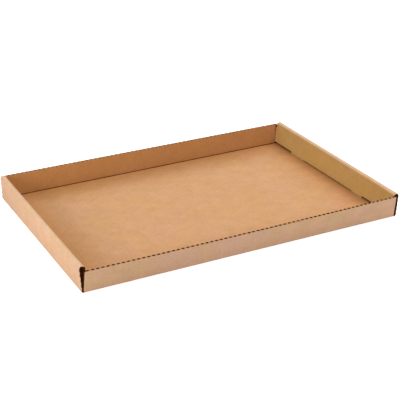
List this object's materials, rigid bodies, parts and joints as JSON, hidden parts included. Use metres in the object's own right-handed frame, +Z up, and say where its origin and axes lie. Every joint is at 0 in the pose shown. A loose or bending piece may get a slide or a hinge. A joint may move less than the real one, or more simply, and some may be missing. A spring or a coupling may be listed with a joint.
{
  "type": "cardboard tray box",
  "caption": "Shallow open tray folded from one sheet of kraft corrugated board, with roll-over short ends locked by tabs and leaning single-board long walls.",
  "frame": {"origin": "middle of the underside, on the surface that the tray stands on", "axes": "+X along the tray, to the right-hand roll-over end; +Y across it, from the front long wall to the back one; +Z up"},
  "size_m": [0.4548, 0.323, 0.035],
  "materials": {
    "kraft_board": "uncoated brown kraft liner, matt"
  },
  "bodies": {
    "root": {"folded_tray": "kraft_board"}
  },
  "joints": []
}
